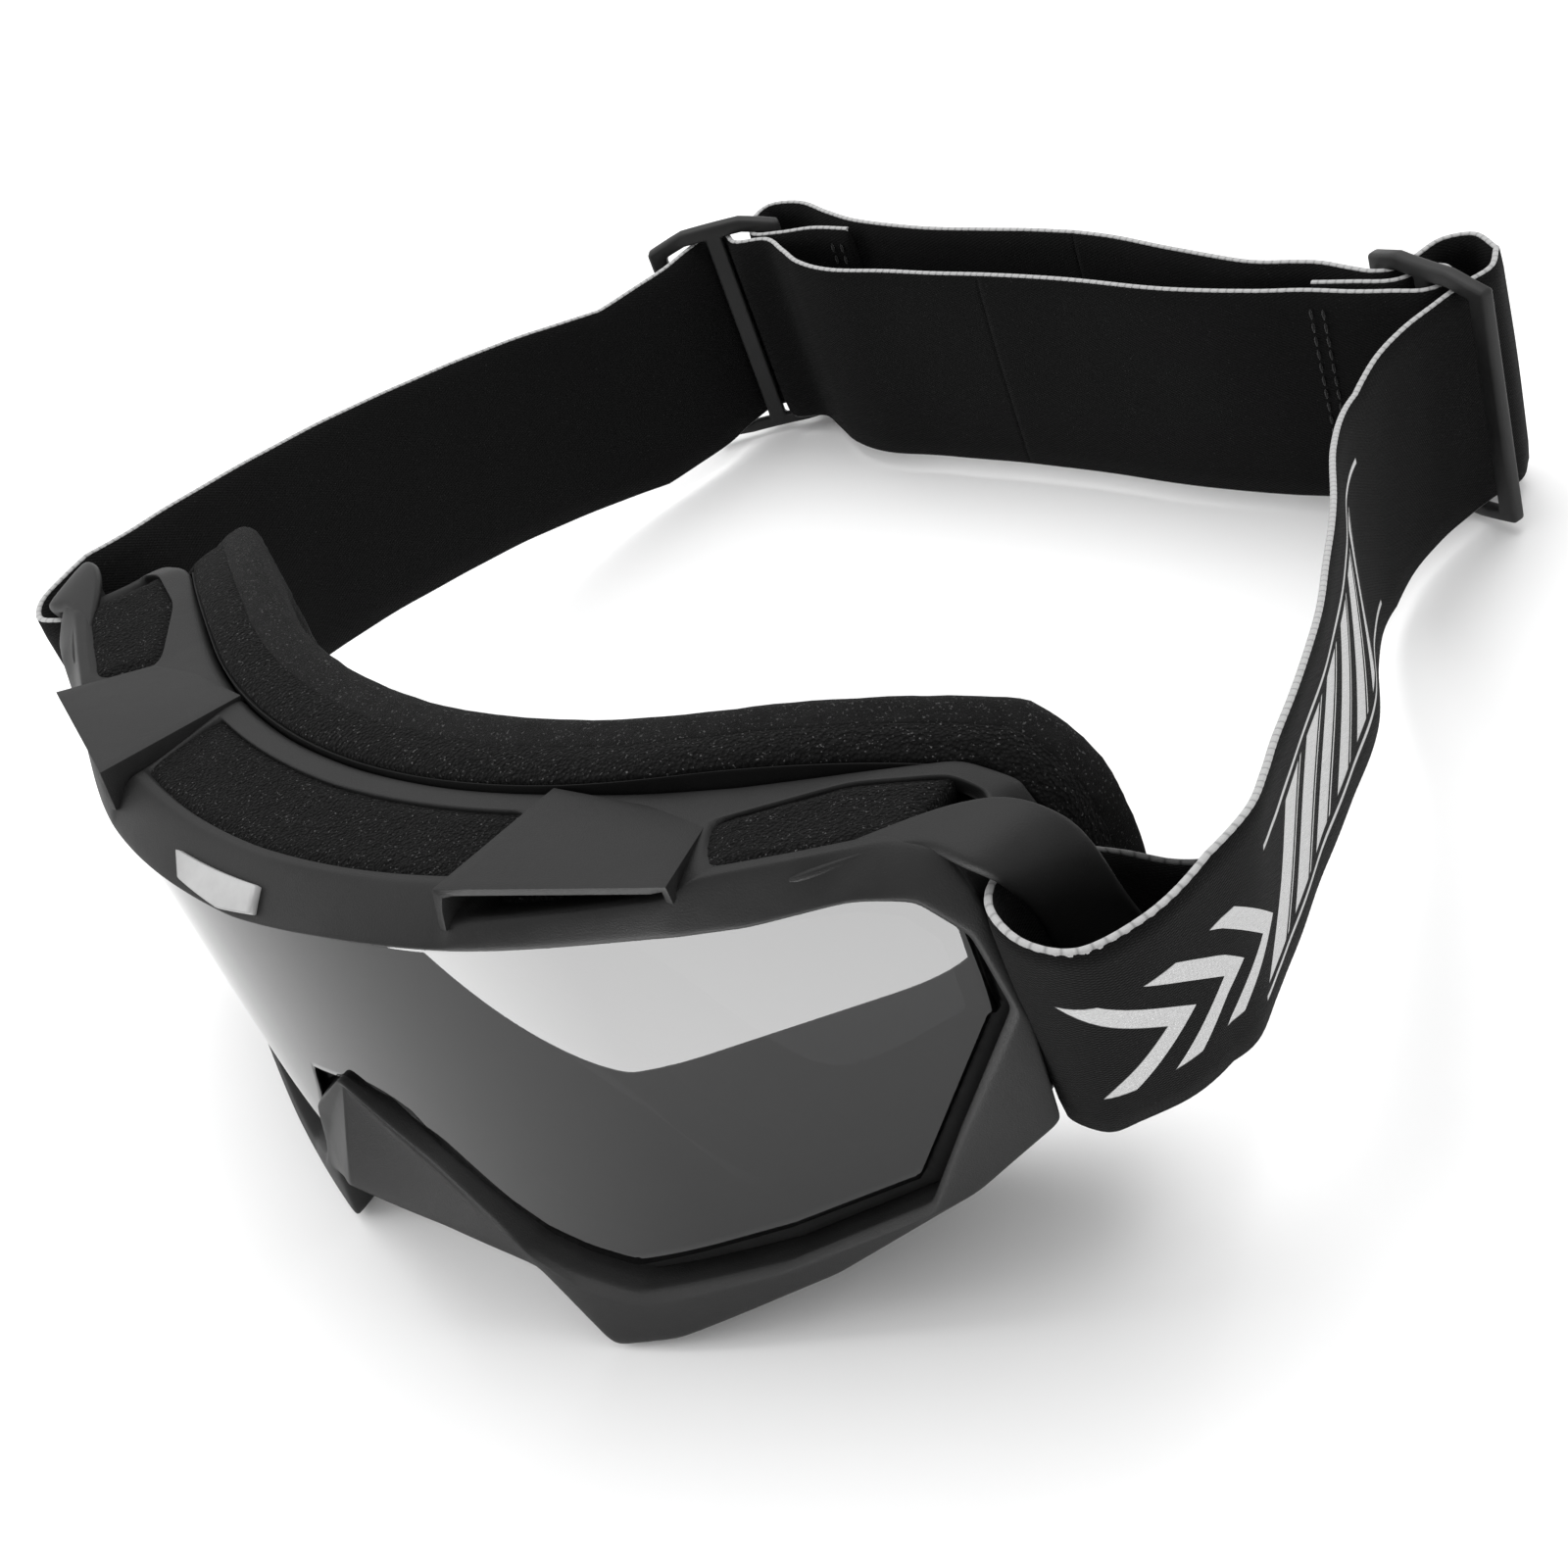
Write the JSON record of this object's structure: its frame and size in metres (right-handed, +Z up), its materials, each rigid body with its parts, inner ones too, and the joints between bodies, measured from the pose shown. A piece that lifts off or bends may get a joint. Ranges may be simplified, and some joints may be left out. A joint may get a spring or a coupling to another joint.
{
  "type": "motorcycle goggles",
  "caption": "Off-road motorcycle goggles: moulded frame with top scoops, cylindrical lens, face foam and an elastic strap adjusted by sliders.",
  "frame": {"origin": "bottom centre of the whole object's box, on the surface the goggles rest on", "axes": "+X towards the wearer's left, +Y from the lens back to the wearer's head, +Z up"},
  "size_m": [0.2217, 0.2267, 0.0876],
  "materials": {
    "frame_plastic": "fine matte texture, charcoal grey",
    "flange_plastic": "soft matte, dark grey",
    "lens": "clear to light smoke, polished",
    "gasket": "matte black",
    "badge": "satin light grey, blank",
    "vent_foam": "open-cell black foam",
    "face_foam": "dense black foam",
    "fleece": "brushed black fleece",
    "slider_plastic": "satin dark grey",
    "webbing": "black elastic webbing with light grey edges",
    "thread": "black thread"
  },
  "bodies": {
    "goggles": {"front_frame": "frame_plastic", "nose_bridge": "frame_plastic", "scoop_left": "frame_plastic", "scoop_right": "frame_plastic", "outrigger_left": "frame_plastic", "outrigger_right": "frame_plastic", "face_flange": "flange_plastic", "lens": "lens", "lens_gasket": "gasket", "badge": "badge", "vent_foam_centre": "vent_foam", "vent_foam_left": "vent_foam", "vent_foam_right": "vent_foam", "vent_foam_lower_left": "vent_foam", "vent_foam_lower_right": "vent_foam", "face_foam": "face_foam", "face_fleece": "fleece", "strap_left_anchor_loop": "webbing", "strap_left_side_run": "webbing", "strap_left_back_layer": "webbing", "strap_left_anchor_stitches": "thread", "strap_right_anchor_loop": "webbing", "strap_right_side_run": "webbing", "strap_right_back_layer": "webbing", "strap_right_anchor_stitches": "thread"},
    "left_slider": {"slider_left": "slider_plastic", "strap_left_weave": "webbing", "strap_right_end_loop": "webbing", "strap_right_end_stitches": "thread"},
    "right_slider": {"slider_right": "slider_plastic", "strap_right_weave": "webbing", "strap_left_end_loop": "webbing", "strap_left_end_stitches": "thread"}
  },
  "joints": [
    {"name": "left_slider_slide", "type": "slide", "parent": "goggles", "child": "left_slider", "axis": [0, -1, 0], "range_m": [0, 0.015]},
    {"name": "right_slider_slide", "type": "slide", "parent": "goggles", "child": "right_slider", "axis": [-0.2369, -0.9715, 0], "range_m": [0, 0.015]}
  ]
}
